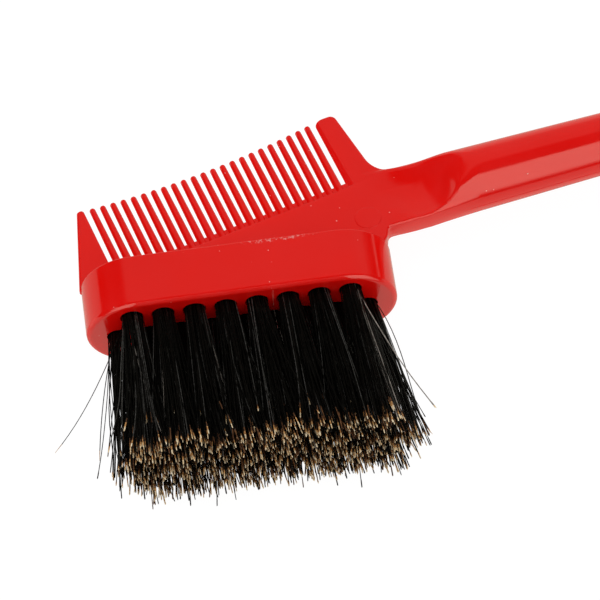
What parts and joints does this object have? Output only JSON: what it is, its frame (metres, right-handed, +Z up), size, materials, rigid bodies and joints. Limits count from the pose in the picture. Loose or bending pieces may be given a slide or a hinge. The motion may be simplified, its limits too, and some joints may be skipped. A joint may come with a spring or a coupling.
{
  "type": "tint brush",
  "caption": "Double-sided hair tint brush: one moulded handle with a fine comb on one edge and a block of bristle tufts on the other.",
  "frame": {"origin": "middle of the flat lower side face of the bristle block, on the surface that the brush lies on", "axes": "+X along the handle from the head to the tail, +Y towards the comb (bristles point to -Y), +Z up through the thickness of the plate"},
  "size_m": [0.2185, 0.0709, 0.0201],
  "materials": {
    "red_plastic": "glossy moulded polystyrene",
    "black_bristle": "natural boar bristle, black with pale split tips",
    "anchor_wire": "flat drawn wire"
  },
  "bodies": {
    "root": {"moulded_body": "red_plastic", "tuft_upper_1": "black_bristle", "tuft_upper_2": "black_bristle", "tuft_upper_3": "black_bristle", "tuft_upper_4": "black_bristle", "tuft_upper_5": "black_bristle", "tuft_upper_6": "black_bristle", "tuft_upper_7": "black_bristle", "tuft_upper_8": "black_bristle", "tuft_middle_1": "black_bristle", "tuft_middle_2": "black_bristle", "tuft_middle_3": "black_bristle", "tuft_middle_4": "black_bristle", "tuft_middle_5": "black_bristle", "tuft_middle_6": "black_bristle", "tuft_middle_7": "black_bristle", "tuft_middle_8": "black_bristle", "tuft_middle_9": "black_bristle", "tuft_lower_1": "black_bristle", "tuft_lower_2": "black_bristle", "tuft_lower_3": "black_bristle", "tuft_lower_4": "black_bristle", "tuft_lower_5": "black_bristle", "tuft_lower_6": "black_bristle", "tuft_lower_7": "black_bristle", "tuft_lower_8": "black_bristle", "anchor_upper_1": "anchor_wire", "anchor_upper_2": "anchor_wire", "anchor_upper_3": "anchor_wire", "anchor_upper_4": "anchor_wire", "anchor_upper_5": "anchor_wire", "anchor_upper_6": "anchor_wire", "anchor_upper_7": "anchor_wire", "anchor_upper_8": "anchor_wire", "anchor_middle_1": "anchor_wire", "anchor_middle_2": "anchor_wire", "anchor_middle_3": "anchor_wire", "anchor_middle_4": "anchor_wire", "anchor_middle_5": "anchor_wire", "anchor_middle_6": "anchor_wire", "anchor_middle_7": "anchor_wire", "anchor_middle_8": "anchor_wire", "anchor_middle_9": "anchor_wire", "anchor_lower_1": "anchor_wire", "anchor_lower_2": "anchor_wire", "anchor_lower_3": "anchor_wire", "anchor_lower_4": "anchor_wire", "anchor_lower_5": "anchor_wire", "anchor_lower_6": "anchor_wire", "anchor_lower_7": "anchor_wire", "anchor_lower_8": "anchor_wire"}
  },
  "joints": []
}
